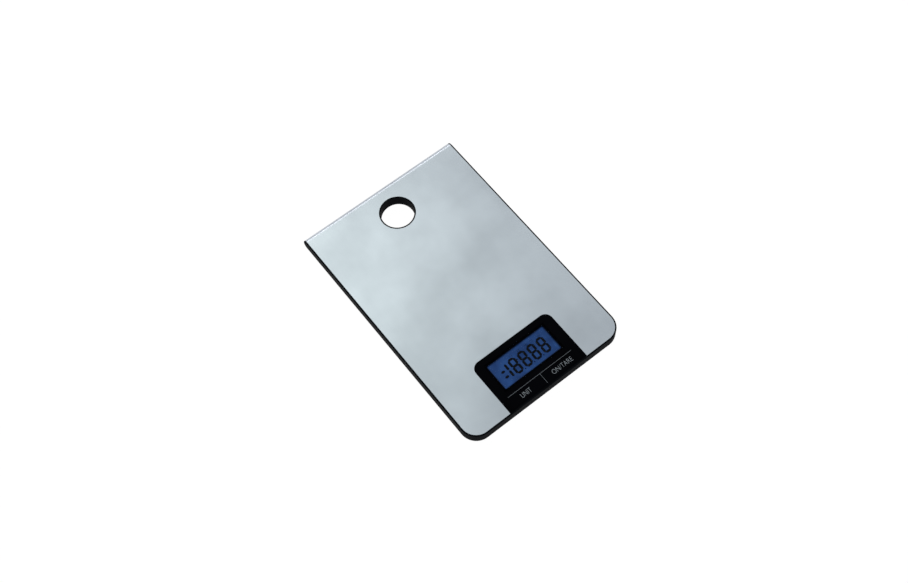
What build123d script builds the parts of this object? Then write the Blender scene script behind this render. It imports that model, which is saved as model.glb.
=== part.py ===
from build123d import *
import os

# Slim digital scale. Millimetres, +Z up, X to the right, Y to the rear.
# The origin is on the surface it stands on, under the middle of the body.

# Body
body_width = 150.0          # across the black side walls
body_length = 223.0         # front wall to the back of the bent plate
body_depth = 10.5           # top of the plate to the underside
foot_drop = 2.0             # how far the feet stand out below
corner_radius = 14.35       # front corners, seen from above
edge_radius = 0.6           # rounding along the outer edges of both shells
bend_radius = 5.0           # outside of the plate's bend over the rear edge
heel_radius = 4.0           # lower rear corner
rim = 1.2                   # black border beside the plate
seam_gap = 0.1              # shadow line between the two shells
wall = 1.8                  # side wall of the top housing
lip_thickness = 0.7         # lip of the bottom cover inside that wall
lip_height = 1.0
slip = 0.1                  # general clearance between fitted pieces
nose_wall = 5.6             # rear wall, from the back to the cavity
bury = 0.2                  # pieces of one solid reach this far into each other
rib_width = 1.0
rib_height = 1.0            # ribs below the ceiling
rib_start = 3.0             # circuit board to the first rib
rib_x = (25.0, 50.0)        # lengthwise ribs, on both sides of the middle
rib_shares = (0.3, 0.55, 0.8)
pad_recess = 0.4            # thick pads of the cover start this far above the underside

# Platform
plate_thickness = 0.6
plate_gap = 0.06            # plate to rim, and plate to panel
tape_thickness = 0.2
tape_margin = 2.0           # tape stays this far inside the plate's edge
deck_thickness = 1.5
floor_thickness = 1.4

# Hanging hole
hole_radius = 14.0
collar_wall = 1.1
collar_sink = 0.2           # collar top below the plate top
hole_from_back = 28.5       # hole centre to the back of the body

# Display and key panel
panel_side = 10.15          # panel beyond the visible part of the display, on each side
panel_front_part = 17.5     # panel in front of the visible part
panel_radius = 6.75
panel_thickness = 1.2
view_width = 55.6           # visible part of the display
view_length = 23.7
view_margin = 7.2           # rear edge of the panel to the visible part
view_shift = -0.4           # the visible part sits slightly left of centre
view_radius = 0.8
ledge_thickness = 0.4       # step under the lens
ledge_width = 1.6
lens_gap = 0.05

# Keys
key_side = 2.83             # keys to the sides of the panel
key_length = 9.4
key_front_margin = 1.0      # front edge of the panel to the keys
key_bridge = 1.2            # strip of panel between the two keys
key_gap = 0.12
key_radius = 0.8
key_flange = 0.5            # flange width, and its thickness
key_travel = 0.3
key_lift = 0.05             # play between the flange and the panel
plunger_radius = 1.5
key_edge = 0.12             # rounding of the key's top edge

# Display module
gasket_thickness = 0.5
polarizer_thickness = 0.2
glass_thickness = 0.7
guide_thickness = 2.0
glass_border = 3.2          # glass beyond the visible part, on all sides
contact_ledge = 3.5         # front strip of the front glass, over the contacts
frame_wall = 1.9
led_zone = 1.8
led_size = 1.2
led_length = 3.0
led_spread = 6.0            # LEDs on both sides of the middle
guide_chamfer = 0.6
peg_radius = 0.7            # pegs of the display frame in the board
peg_inset_x = 1.0
peg_inset_y = 4.0
zebra_width = 2.0

# Circuit board
board_thickness = 1.2
board_side = 6.0            # board beyond the display module, on each side
board_front_gap = 0.3       # board to the bottom cover's front wall
board_rear_margin = 6.0     # display module to the board's rear edge
chip_radius = 6.0
chip_height = 1.0
terminal_size = 3.0
terminal_inset = 2.4        # solder pads to the board's edge
battery_terminal_x = 8.0
switch_width = 5.2
switch_height = 1.4
stem_radius = 1.3
stem_stand = 0.5            # stem above the switch body
stem_depth = 1.0            # stem length inside and above the body
switch_chamfer = 0.3
stem_chamfer = 0.15

# Load cells and feet
foot_inset_x = 17.0         # foot centre to the side of the body
foot_inset_y = 21.5         # foot centre to the front or back of the body
foot_radius = 8.0
foot_gap = 0.3
foot_top_rise = 0.5         # foot above the cover's floor
pad_radius = 6.6
pad_height = 1.2
pad_inset = 0.5             # pad sunk into the foot
guide_ring = 1.2            # ring around each foot opening
cell_width = 10.0
cell_length = 32.0
cell_thickness = 2.0
cell_overhang = 4.0         # free end of the beam beyond the foot's centre
cell_drop = 3.0             # beam below the ceiling
gauge_thickness = 0.2
gauge_width = 5.0
gauge_length = 4.0
gauge_from_foot = 9.0
cell_block = 12.0           # block above the fixed end of a cell
cell_screw_steps = (3.0, 9.0)
stud_radius = 2.4
spigot_radius = 1.4
spigot_play = 0.1
waist_radius = 2.6
waist_out = 0.6             # middle of the waist's cut outside the beam

# Battery bay
coin_radius = 10.0
coin_height = 3.2
coin_play = 0.3
bay_from_board = 39.85      # circuit board to the middle of the bay
door_side = 5.0             # door beyond the coin cell, at the sides
door_end = 2.5              # and at the front and rear
coin_lift = 0.1             # coin cell above the closed door
coin_step = 0.3             # height of its negative cap
cap_inset = 1.6
door_thickness = 1.2
door_gap = 0.15
door_seat_gap = 0.1
pin_radius = 0.8
pin_length = 1.5
pin_play = 0.06
bay_wall = 2.0
latch_width = 8.0
latch_height = 1.6
latch_thickness = 1.0
latch_play = 0.4
grip_width = 10.0
grip_pitch = 1.6
strip_thickness = 0.3
tab_length = 2.5            # contact tabs outside the bay
positive_width = 3.0
negative_width = 4.0
negative_x = -3.0
leg_width = 6.0             # leg that touches the side of the coin cell

# Leads
lead_radius = 0.5

# Screws
screw_radius = 1.0
head_radius = 1.9
head_height = 1.1
head_gap = 0.3
boss_radius = 2.6
shank_gap = 0.2
screw_inset_x = 8.0         # shell screws to the sides
screw_inset_front = 11.5
screw_rear_x = 35.0
screw_rear_gap = 2.0
board_screw_inset = 3.0
board_screw_shift = 6.5     # rear board screws stand closer together
screw_short = 0.5           # screw tips below the top of their holes
recess_length = 2.2
recess_width = 0.5
recess_depth = 0.5

# Label
label_width = 50.0
label_length = 26.0
label_thickness = 0.12
label_recess = 0.2
label_margin = 0.5

# Levels, from the surface upwards
base_z = foot_drop
top_z = base_z + body_depth
parting_z = top_z - bend_radius
deck_z = top_z - plate_thickness - tape_thickness
ceiling_z = deck_z - deck_thickness
floor_z = base_z + floor_thickness
panel_z = top_z - panel_thickness
lens_z = panel_z + ledge_thickness
polarizer_z = panel_z - gasket_thickness - polarizer_thickness
front_glass_z = polarizer_z - glass_thickness
rear_glass_z = front_glass_z - glass_thickness
rear_polarizer_z = rear_glass_z - polarizer_thickness
board_top = rear_polarizer_z - guide_thickness
board_z = board_top - board_thickness
cell_top = ceiling_z - cell_drop
cell_z = cell_top - cell_thickness
lead_rest = cell_top + gauge_thickness
lead_z = lead_rest + lead_radius
collar_z = top_z - collar_sink

# Places, seen from above
front_y = -body_length / 2
back_y = body_length / 2
bend_y = back_y - bend_radius
plate_front = front_y + rim + plate_gap
plate_width = body_width - 2 * rim - 2 * plate_gap
plate_radius = corner_radius - rim - plate_gap
hole_y = back_y - hole_from_back
collar_radius = hole_radius + collar_wall
panel_width = view_width + 2 * panel_side
panel_length = view_margin + view_length + panel_front_part
panel_front = front_y + rim + slip / 2
panel_back = panel_front + panel_length
panel_y = panel_front + panel_length / 2
view_y = panel_back - view_margin - view_length / 2
key_y = panel_front + key_front_margin + key_length / 2
key_width = panel_width / 2 - key_bridge / 2 - key_gap - key_side
key_x = key_bridge / 2 + key_gap + key_width / 2
glass_width = view_width + 2 * glass_border
glass_length = view_length + 2 * glass_border
module_width = glass_width + 2 * slip + 2 * frame_wall
module_length = glass_length + 2 * slip + 2 * frame_wall
cover_wall = wall + slip + lip_thickness
board_front = front_y + cover_wall + board_front_gap
board_back = view_y + module_length / 2 + board_rear_margin
board_width = module_width + 2 * board_side
foot_x = body_width / 2 - foot_inset_x
foot_y = body_length / 2 - foot_inset_y
beam_middle = foot_y + cell_overhang - cell_length / 2
bay_y = board_back + bay_from_board
door_width = 2 * coin_radius + 2 * door_side
door_length = 2 * coin_radius + 2 * door_end
label_y = (bay_y + door_length / 2 + hole_y - collar_radius) / 2
corners = {
    "front_left": (-1, -1),
    "front_right": (1, -1),
    "rear_left": (-1, 1),
    "rear_right": (1, 1),
}


def block(width, length, low, high, x=0.0, y=0.0):
    """Box with its middle at x, y, standing from low to high."""
    return Pos(x, y, (low + high) / 2) * Box(width, length, high - low)


def post(radius, low, high, x=0.0, y=0.0):
    """Upright cylinder from low to high."""
    return Pos(x, y, (low + high) / 2) * Cylinder(radius, high - low)


def rounded(width, length, radius, low, high, x=0.0, y=0.0):
    """Upright slab with four round corners."""
    slab = block(width, length, low, high, x, y)
    return fillet(slab.edges().filter_by(Axis.Z), radius)


def front_rounded(width, y0, y1, radius, low, high):
    """Slab from y0 to y1 whose two front corners are round."""
    slab = block(width, y1 - y0, low, high, 0, (y0 + y1) / 2)
    corner_edges = slab.edges().filter_by(Axis.Z).sort_by(Axis.Y)[:2]
    return fillet(corner_edges, radius)


def body_slab(inset, rear_inset, low, high):
    """The body's outline seen from above, moved in by inset."""
    return front_rounded(
        body_width - 2 * inset,
        front_y + inset,
        back_y - rear_inset,
        corner_radius - inset,
        low,
        high,
    )


def side_block(width):
    """The body's side profile: rounded nose above and rounded heel below, at the rear."""
    y_middle = (front_y + back_y) / 2
    slab = Pos(0, y_middle, (base_z + top_z) / 2) * Box(width, body_length, body_depth)
    rear = slab.edges().filter_by(Axis.X).sort_by(Axis.Y)[2:]
    slab = fillet(rear.sort_by(Axis.Z)[-1], bend_radius)
    lower = slab.edges().filter_by(Axis.X).group_by(Axis.Z)[0]
    return fillet(lower.sort_by(Axis.Y)[-1], heel_radius)


def sheet(width, y0, shallow, deep):
    """Layer that follows the top surface and the rear bend, between two depths below it."""
    upper = bend_radius - shallow
    lower = bend_radius - deep
    edges = [
        Line((y0, top_z - shallow), (bend_y, top_z - shallow)),
        CenterArc((bend_y, parting_z), upper, 0, 90),
        Line((bend_y + upper, parting_z), (bend_y + lower, parting_z)),
        CenterArc((bend_y, parting_z), lower, 0, 90),
        Line((bend_y, top_z - deep), (y0, top_z - deep)),
        Line((y0, top_z - deep), (y0, top_z - shallow)),
    ]
    return extrude(Plane.YZ * make_face(edges), amount=width / 2, both=True)


def panel_slab(grow, low, high):
    """The display panel's outline: square at the front, round corners at the rear."""
    width = panel_width + 2 * grow
    length = panel_length + 2 * grow
    slab = block(width, length, low, high, 0, panel_y)
    corner_edges = slab.edges().filter_by(Axis.Z).sort_by(Axis.Y)[2:]
    return fillet(corner_edges, panel_radius + grow)


def tube(points, radii):
    """Round lead along straight runs joined by arcs."""
    path = FilletPolyline(*points, radius=radii)
    start = Plane(path @ 0, z_dir=path % 0)
    return sweep(start * Circle(lead_radius), path=path)


def housing_screw_places():
    """Screws that join the two shells."""
    side_x = body_width / 2 - screw_inset_x
    front = (side_x, front_y + screw_inset_front)
    middle = (side_x, 0.0)
    rear = (screw_rear_x, back_y - nose_wall - boss_radius - screw_rear_gap)
    return [(s * x, y) for x, y in (front, middle, rear) for s in (-1, 1)]


def board_screw_places():
    """Screws that hold the circuit board to the deck."""
    side_x = board_width / 2 - board_screw_inset
    front = (side_x, view_y - module_length / 2 + boss_radius - peg_inset_x)
    rear = (side_x - board_screw_shift, board_back - board_screw_inset)
    return [(s * x, y) for x, y in (front, rear) for s in (-1, 1)]


def cell_screw_places(side, end):
    """Two screws through the fixed end of a load cell."""
    root = foot_y + cell_overhang - cell_length
    return [(side * foot_x, end * (root + d)) for d in cell_screw_steps]


def platform_plate():
    """Stainless plate with its rear bend, hanging hole and panel notch."""
    plate = sheet(plate_width, plate_front, 0, plate_thickness)
    outline = front_rounded(plate_width, plate_front, back_y + 1, plate_radius, base_z, top_z + 1)
    plate = plate & outline
    plate -= post(collar_radius + plate_gap * 2, deck_z, top_z + 1, 0, hole_y)
    notch = panel_slab(plate_gap, deck_z - 1, top_z + 1)
    front_cut = block(panel_width + 2 * plate_gap, 4, deck_z - 1, top_z + 1, 0, panel_front)
    return plate - notch - front_cut


def platform_tape():
    """Double-sided sheet between the plate and the deck."""
    width = plate_width - 2 * tape_margin
    low = deck_z
    high = deck_z + tape_thickness
    radius = plate_radius - tape_margin
    layer = front_rounded(width, plate_front + tape_margin, bend_y - tape_margin, radius, low, high)
    layer -= post(collar_radius + tape_margin, low - 1, high + 1, 0, hole_y)
    layer -= panel_slab(tape_margin, low - 1, high + 1)
    strip = block(panel_width + 2 * tape_margin, 8, low - 1, high + 1, 0, panel_front)
    return layer - strip


def key_opening(side, grow, low, high):
    """Opening around one key, grown by a clearance."""
    width = key_width + 2 * grow
    length = key_length + 2 * grow
    return rounded(width, length, key_radius + grow, low, high, side * key_x, key_y)


def module_opening(grow, low, high):
    """Opening around the display module."""
    width = module_width + 2 * grow
    length = module_length + 2 * grow
    return block(width, length, low, high, view_shift, view_y)


def deck_ribs():
    """Stiffening ribs under the deck, clear of the display and the battery bay."""
    low = ceiling_z - rib_height
    high = ceiling_z + bury
    start = board_back + rib_start
    end = back_y - nose_wall
    ribs = block(body_width - 2 * wall, rib_width, low, high, 0, start)
    for x in rib_x:
        ribs += block(rib_width, end - start, low, high, x, (start + end) / 2)
        ribs += block(rib_width, end - start, low, high, -x, (start + end) / 2)
    for share in rib_shares:
        ribs += block(body_width - 2 * wall, rib_width, low, high, 0, start + share * (end - start))
    return ribs


def top_housing():
    """Upper shell: rim, deck, rear nose, hole tube, screw bosses and load cell blocks."""
    outer = body_slab(0, 0, base_z, top_z) & side_block(body_width)
    shell = outer & block(body_width + 2, body_length + 2, parting_z, top_z + 1)
    rim_edges = shell.edges().group_by(Axis.Z)[-1]
    shell = fillet(rim_edges.sort_by(Axis.Y)[0], edge_radius)
    pocket_depth = plate_thickness + tape_thickness
    pocket = sheet(plate_width + 2 * plate_gap, plate_front - plate_gap, -3, pocket_depth)
    pocket = pocket & front_rounded(
        plate_width + 2 * plate_gap,
        plate_front - plate_gap,
        back_y + 5,
        plate_radius + plate_gap,
        base_z,
        top_z + 2,
    )
    shell -= pocket
    shell -= body_slab(wall, nose_wall, parting_z - 1, ceiling_z)
    shell += deck_ribs()
    for x, y in housing_screw_places():
        shell += post(boss_radius, screw_seat() + slip, ceiling_z + bury, x, y)
    for x, y in board_screw_places():
        shell += post(boss_radius, board_top, ceiling_z + bury, x, y)
    for side, end in corners.values():
        y = end * (foot_y + cell_overhang - cell_length + cell_block / 2)
        shell += block(cell_width, cell_block, cell_top, ceiling_z + bury, side * foot_x, y)
    shell += post(collar_radius, base_z, collar_z, 0, hole_y)
    shell -= panel_slab(slip / 2, panel_z, top_z + 1)
    shell -= module_opening(slip, board_z, top_z)
    for side in (-1, 1):
        shell -= key_opening(side, key_flange + slip, ceiling_z - 2, panel_z + 0.5)
    shell -= post(hole_radius, base_z - 1, top_z + 1, 0, hole_y)
    for x, y in housing_screw_places():
        shell -= post(screw_radius, base_z, ceiling_z + 0.3, x, y)
    for x, y in board_screw_places():
        shell -= post(screw_radius, board_z, ceiling_z + 0.3, x, y)
    for side, end in corners.values():
        for x, y in cell_screw_places(side, end):
            shell -= post(screw_radius, cell_z, ceiling_z, x, y)
    return shell


def screw_seat():
    """Top of the thick pads around the shell screws in the bottom cover."""
    return floor_z + head_height + head_gap


def door_axis_y():
    """Hinge line of the battery door, along its rear edge."""
    return bay_y + door_length / 2 - door_thickness


def door_axis_z():
    """The hinge line lies in the door's inner face."""
    return base_z + door_thickness


def battery_bay(cover):
    """Adds the coin cell's bay to the cover and cuts the door opening, pivots and contact slots."""
    seat = base_z + door_thickness + door_seat_gap
    bay_width = door_width + 2 * door_gap + 2 * pin_length + 2 * bay_wall
    bay_length = door_length + 2 * door_gap + 2 * bay_wall
    cover += block(bay_width, bay_length, seat, lead_rest + 0.8, 0, bay_y)
    cover -= block(door_width + 2 * door_gap, door_length + 2 * door_gap, base_z - 1, seat, 0, bay_y)
    cover -= post(coin_radius + coin_play, seat - 0.5, lead_rest, 0, bay_y)
    bead = Rot(0, 90, 0) * Cylinder(door_thickness + door_gap, door_width + 2 * door_gap)
    cover -= Pos(0, door_axis_y(), door_axis_z()) * bead
    hole_length = door_width + 2 * door_gap + 2 * pin_length
    pins = Rot(0, 90, 0) * Cylinder(pin_radius + pin_play, hole_length)
    cover -= Pos(0, door_axis_y(), door_axis_z()) * pins
    latch_y = bay_y - door_length / 2 + latch_thickness / 2
    slot_width = latch_width + 2 * latch_play
    slot_length = latch_thickness + 2 * latch_play
    slot_top = seat + latch_height + latch_play
    cover -= block(slot_width, slot_length, seat - 0.5, slot_top, 0, latch_y)
    front = bay_y - bay_length / 2
    for place in contact_strips():
        cover -= block(
            place["width"] + 2 * slip,
            bay_y - front + 1,
            lead_rest - strip_thickness,
            lead_rest,
            place["x"],
            (bay_y + front - 1) / 2,
        )
    slot = strip_thickness + slip
    side_slot = block(slot, leg_width + 2 * slip, seat, lead_rest, coin_radius + slot / 2, bay_y)
    return cover - side_slot


def contact_strips():
    """Flat strips of the two battery contacts: x of the middle, and width."""
    positive_x = coin_radius + strip_thickness - positive_width / 2
    return (
        {"x": positive_x, "width": positive_width},
        {"x": negative_x, "width": negative_width},
    )


def tab_end():
    """Front end of the contact tabs, outside the bay."""
    return bay_y - door_length / 2 - door_gap - bay_wall - tab_length


def bottom_cover():
    """Lower shell: floor, walls, lip, screw pads, foot rings and battery bay."""
    outer = body_slab(0, 0, base_z, top_z) & side_block(body_width)
    shell = outer & block(body_width + 2, body_length + 2, base_z - 1, parting_z - seam_gap)
    low_edges = shell.edges().group_by(Axis.Z)[0]
    shell = fillet(low_edges.sort_by(Axis.Y)[0], edge_radius)
    lip_top = parting_z + lip_height
    shell += body_slab(wall + slip, nose_wall + slip, parting_z - 1, lip_top)
    shell -= body_slab(cover_wall, nose_wall + slip + lip_thickness, floor_z, lip_top + 1)
    for x, y in housing_screw_places():
        shell += post(head_radius + head_gap + slip * 10, base_z + pad_recess, screw_seat(), x, y)
    for side, end in corners.values():
        ring_radius = foot_radius + foot_gap + guide_ring
        ring_top = floor_z + guide_ring
        shell += post(ring_radius, base_z + pad_recess, ring_top, side * foot_x, end * foot_y)
    shell = battery_bay(shell)
    for x, y in housing_screw_places():
        shell -= post(head_radius + head_gap, base_z - 1, base_z + head_height + head_gap, x, y)
        shell -= post(screw_radius + shank_gap, base_z - 1, floor_z + 9, x, y)
    for side, end in corners.values():
        shell -= post(foot_radius + foot_gap, base_z - 1, floor_z + 3, side * foot_x, end * foot_y)
    shell -= post(collar_radius + slip, base_z - 1, top_z, 0, hole_y)
    recess_x = label_width + 2 * label_margin
    recess_y = label_length + 2 * label_margin
    shell -= block(recess_x, recess_y, base_z - 1, base_z + label_recess, 0, label_y)
    return shell


def window_panel():
    """Black panel with the stepped display opening and the two key openings."""
    panel = panel_slab(0, panel_z, top_z)
    panel -= rounded(view_width, view_length, view_radius, panel_z - 1, top_z + 1, view_shift, view_y)
    step_width = view_width + 2 * ledge_width + 2 * lens_gap
    step_length = view_length + 2 * ledge_width + 2 * lens_gap
    panel -= rounded(step_width, step_length, view_radius, lens_z, top_z + 1, view_shift, view_y)
    for side in (-1, 1):
        panel -= key_opening(side, key_gap, panel_z - 1, top_z + 1)
    return panel


def display_lens():
    """Clear pane, flush with the panel, on the panel's step."""
    width = view_width + 2 * ledge_width
    length = view_length + 2 * ledge_width
    return rounded(width, length, view_radius - lens_gap, lens_z, top_z, view_shift, view_y)


def lcd_gasket():
    """Foam frame between the display glass and the panel."""
    ring = block(glass_width, glass_length, panel_z - gasket_thickness, panel_z, view_shift, view_y)
    return ring - block(view_width + 1, view_length + 1, base_z, top_z, view_shift, view_y)


def lcd_front_polarizer():
    """Film on the front glass."""
    low = polarizer_z
    return block(glass_width - 1, glass_length - 1, low, low + polarizer_thickness, view_shift, view_y)


def lcd_front_glass():
    """Front glass, with the contact strip along its front edge."""
    return block(glass_width, glass_length, front_glass_z, polarizer_z, view_shift, view_y)


def rear_layer(low, high, margin):
    """Layer behind the front glass, shorter by the contact strip."""
    length = glass_length - contact_ledge - margin
    y = view_y + contact_ledge / 2
    return block(glass_width - margin, length, low, high, view_shift, y)


def lcd_rear_glass():
    """Rear glass."""
    return rear_layer(rear_glass_z, front_glass_z, 0)


def lcd_rear_polarizer():
    """Film on the rear glass."""
    return rear_layer(rear_polarizer_z, rear_glass_z, 1.0)


def light_guide():
    """Acrylic slab that spreads the backlight, with a shallow chamfer at its far end."""
    width = glass_width - led_zone - slip
    x = view_shift - (led_zone + slip) / 2
    length = glass_length - contact_ledge - 2 * slip
    guide = block(width, length, board_top, rear_polarizer_z, x, view_y + contact_ledge / 2)
    far_edge = guide.edges().filter_by(Axis.Y).group_by(Axis.Z)[0].sort_by(Axis.X)[0]
    return chamfer(far_edge, guide_chamfer)


def backlight_leds():
    """Side-firing LEDs at the right end of the light guide."""
    x = view_shift + glass_width / 2 - led_zone / 2 + slip / 2
    leds = []
    for dy in (-led_spread, led_spread):
        y = view_y + contact_ledge / 2 + dy
        leds.append(block(led_size, led_length, board_top, board_top + led_size, x, y))
    return Compound(leds)


def peg_places():
    """Pegs of the display frame, near its four corners."""
    dx = module_width / 2 - peg_inset_x
    dy = module_length / 2 - peg_inset_y
    return [(view_shift + sx * dx, view_y + sy * dy) for sx in (-1, 1) for sy in (-1, 1)]


def lcd_frame():
    """Plastic frame that holds the glass and the light guide on the board."""
    ring = module_opening(0, board_top, polarizer_z)
    inside = block(glass_width + 2 * slip, glass_length + 2 * slip, board_z, top_z, view_shift, view_y)
    ring -= inside
    for x, y in peg_places():
        ring += post(peg_radius, board_z, board_top + bury, x, y)
    return ring


def zebra_strip():
    """Rubber contact strip between the board and the front glass."""
    y = view_y - glass_length / 2 + contact_ledge / 2
    return block(glass_width - 2, zebra_width, board_top, front_glass_z, view_shift, y)


def main_board():
    """Circuit board under the display and the keys."""
    y = (board_front + board_back) / 2
    board = rounded(board_width, board_back - board_front, 1.0, board_z, board_top, 0, y)
    for x, y in board_screw_places():
        board -= post(screw_radius + shank_gap, board_z - 1, board_top + 1, x, y)
    for x, y in peg_places():
        board -= post(peg_radius + slip, board_z - 1, board_top + 1, x, y)
    return board


def controller_chip():
    """Drop of black resin over the controller, under the board."""
    blob = post(chip_radius, board_z - chip_height, board_z, 0, view_y)
    return fillet(blob.edges().group_by(Axis.Z)[0], chip_height * 0.8)


def board_parts():
    """Small resistors, capacitors and a crystal, under the board."""
    chip = {"width": 2.0, "length": 1.25, "height": 0.6, "pitch": 3.4, "left": -25.0}
    can = {"radius": 1.6, "height": 1.2, "places": ((14.0, -9.0), (20.0, -9.0), (14.0, 7.0))}
    crystal = {"width": 8.0, "length": 3.0, "height": 1.3, "x": 22.0, "y": 4.0}
    pieces = []
    for y in (view_y - 9.0, view_y + 7.0):
        for column in range(6):
            x = chip["left"] + column * chip["pitch"]
            low = board_z - chip["height"]
            pieces.append(block(chip["width"], chip["length"], low, board_z, x, y))
    for x, y in can["places"]:
        pieces.append(post(can["radius"], board_z - can["height"], board_z, x, view_y + y))
    low = board_z - crystal["height"]
    y = view_y + crystal["y"]
    pieces.append(block(crystal["width"], crystal["length"], low, board_z, crystal["x"], y))
    return Compound(pieces)


def terminal_places():
    """Solder pads for the leads: four sensor leads and two battery leads."""
    side_x = board_width / 2 - terminal_inset
    front = [(s * side_x, view_y - terminal_size) for s in (-1, 1)]
    rear = [(s * side_x, view_y + 3 * terminal_size) for s in (-1, 1)]
    battery = [(s * battery_terminal_x, board_back - terminal_inset) for s in (-1, 1)]
    return {"front": front, "rear": rear, "battery": battery}


def lead_terminals():
    """Solder pads on the board that the leads end on."""
    pads = []
    for places in terminal_places().values():
        for x, y in places:
            pads.append(block(terminal_size, terminal_size, board_top, lead_rest, x, y))
    return Compound(pads)


def switch(side):
    """Body of one tact switch."""
    x = side * key_x
    body = block(switch_width, switch_width, board_top, board_top + switch_height, x, key_y)
    body = chamfer(body.edges().group_by(Axis.Z)[-1], switch_chamfer)
    return body - post(stem_radius + slip, stem_low() - key_travel - slip, board_top + 9, x, key_y)


def stem_low():
    """Underside of a switch stem."""
    return board_top + switch_height + stem_stand - stem_depth


def switch_stem(side):
    """Stem of one tact switch."""
    high = stem_low() + stem_depth
    stem = post(stem_radius, stem_low(), high, side * key_x, key_y)
    return chamfer(stem.edges().group_by(Axis.Z)[-1], stem_chamfer)


def key(side):
    """One key: cap flush with the panel, flange under it, and a plunger on the switch stem."""
    x = side * key_x
    cap = rounded(key_width, key_length, key_radius, panel_z - key_lift - key_flange, top_z, x, key_y)
    cap = fillet(cap.edges().group_by(Axis.Z)[-1], key_edge)
    flange_top = panel_z - key_lift
    cap += key_opening(side, key_flange, flange_top - key_flange, flange_top)
    stem_top = stem_low() + stem_depth
    return cap + post(plunger_radius, stem_top, flange_top - key_flange + 0.1, x, key_y)


def load_cell(side, end):
    """Steel beam: fixed at its inner end, with a waist under the gauge and a hole for the foot."""
    x = side * foot_x
    beam = rounded(cell_width, cell_length, 1.0, cell_z, cell_top, x, end * beam_middle)
    gauge_y = end * gauge_place()
    for cut in (-1, 1):
        beam -= post(waist_radius, cell_z - 1, cell_top + 1, x + cut * (cell_width / 2 + waist_out), gauge_y)
    beam -= post(spigot_radius + spigot_play, cell_z - 1, cell_top + 1, x, end * foot_y)
    for sx, sy in cell_screw_places(side, end):
        beam -= post(screw_radius + shank_gap, cell_z - 1, cell_top + 1, sx, sy)
    return beam


def gauge_place():
    """Distance of the gauge from the middle of the body, along Y."""
    return foot_y - gauge_from_foot


def strain_gauges():
    """One foil gauge on each load cell."""
    patches = []
    for side, end in corners.values():
        y = end * gauge_place()
        patches.append(block(gauge_width, gauge_length, cell_top, lead_rest, side * foot_x, y))
    return Compound(patches)


def foot(side, end):
    """Foot with the stud that carries the load cell and the spigot in its hole."""
    x = side * foot_x
    y = end * foot_y
    high = floor_z + foot_top_rise
    low = pad_height - pad_inset
    disc = post(foot_radius, low, high, x, y)
    disc = fillet(disc.edges().group_by(Axis.Z)[0], 0.5)
    disc += post(stud_radius, high - 0.1, cell_z, x, y)
    disc += post(spigot_radius, cell_z - 0.1, cell_top - 0.2, x, y)
    return disc - post(pad_radius, low - 1, pad_height, x, y)


def foot_pad(side, end):
    """Rubber pad in the foot's recess."""
    pad = post(pad_radius, 0, pad_height, side * foot_x, end * foot_y)
    return fillet(pad.edges().group_by(Axis.Z)[0], 0.3)


def screw(x, y, head_low):
    """Pan head screw pointing up, with a cross recess."""
    head = post(head_radius, head_low, head_low + head_height, x, y)
    head = fillet(head.edges().group_by(Axis.Z)[0], 0.35)
    for angle in (0, 90):
        slot = Rot(0, 0, angle) * Box(recess_length, recess_width, 2 * recess_depth)
        head -= Pos(x, y, head_low) * slot
    return head


def screw_group(places, head_low, tip):
    """Identical screws with their heads at one level."""
    pieces = []
    for x, y in places:
        body = screw(x, y, head_low)
        shank = post(screw_radius, head_low + head_height - 0.1, tip, x, y)
        pieces.append(body + shank)
    return Compound(pieces)


def housing_screws():
    """Screws that join the shells, sunk into the underside."""
    return screw_group(housing_screw_places(), base_z + head_gap, ceiling_z - screw_short)


def board_screws():
    """Screws that hold the board."""
    return screw_group(board_screw_places(), board_z - head_height, ceiling_z - screw_short)


def cell_screws():
    """Screws that hold the load cells."""
    places = []
    for side, end in corners.values():
        places += cell_screw_places(side, end)
    return screw_group(places, cell_z - head_height, ceiling_z - screw_short)


def coin_cell():
    """Lithium coin cell, with its smaller negative cap upwards."""
    high = coin_top()
    can = post(coin_radius, high - coin_height, high - coin_step, 0, bay_y)
    can = fillet(can.edges(), 0.25)
    return can + post(coin_radius - cap_inset, high - coin_step - bury, high, 0, bay_y)


def coin_top():
    """Top of the coin cell's negative cap."""
    return base_z + door_thickness + door_seat_gap + coin_lift + coin_height


def contact_strip(index):
    """Flat part of one battery contact, from the bay to its tab."""
    place = contact_strips()[index]
    length = bay_y - tab_end()
    y = (bay_y + tab_end()) / 2
    return block(place["width"], length, lead_rest - strip_thickness, lead_rest, place["x"], y)


def battery_contact_positive():
    """Contact that touches the side of the coin cell."""
    leg_low = coin_top() - coin_height + 0.4
    leg_x = coin_radius + strip_thickness / 2
    leg = block(strip_thickness, leg_width, leg_low, lead_rest, leg_x, bay_y)
    return contact_strip(0) + leg


def battery_contact_negative():
    """Spring contact that presses on the coin cell's negative cap."""
    x = contact_strips()[1]["x"]
    strip = contact_strip(1)
    low = coin_top()
    edges = Polyline(
        (bay_y - 0.1, lead_rest),
        (bay_y + 3.0, low + strip_thickness),
        (bay_y + 5.0, low + strip_thickness),
        (bay_y + 5.0, low),
        (bay_y + 2.9, low),
        (bay_y - 0.1, lead_rest - strip_thickness),
        close=True,
    )
    finger = extrude(Plane.YZ * make_face(edges), amount=2.0, both=True)
    return strip + Pos(x, 0, 0) * finger


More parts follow.
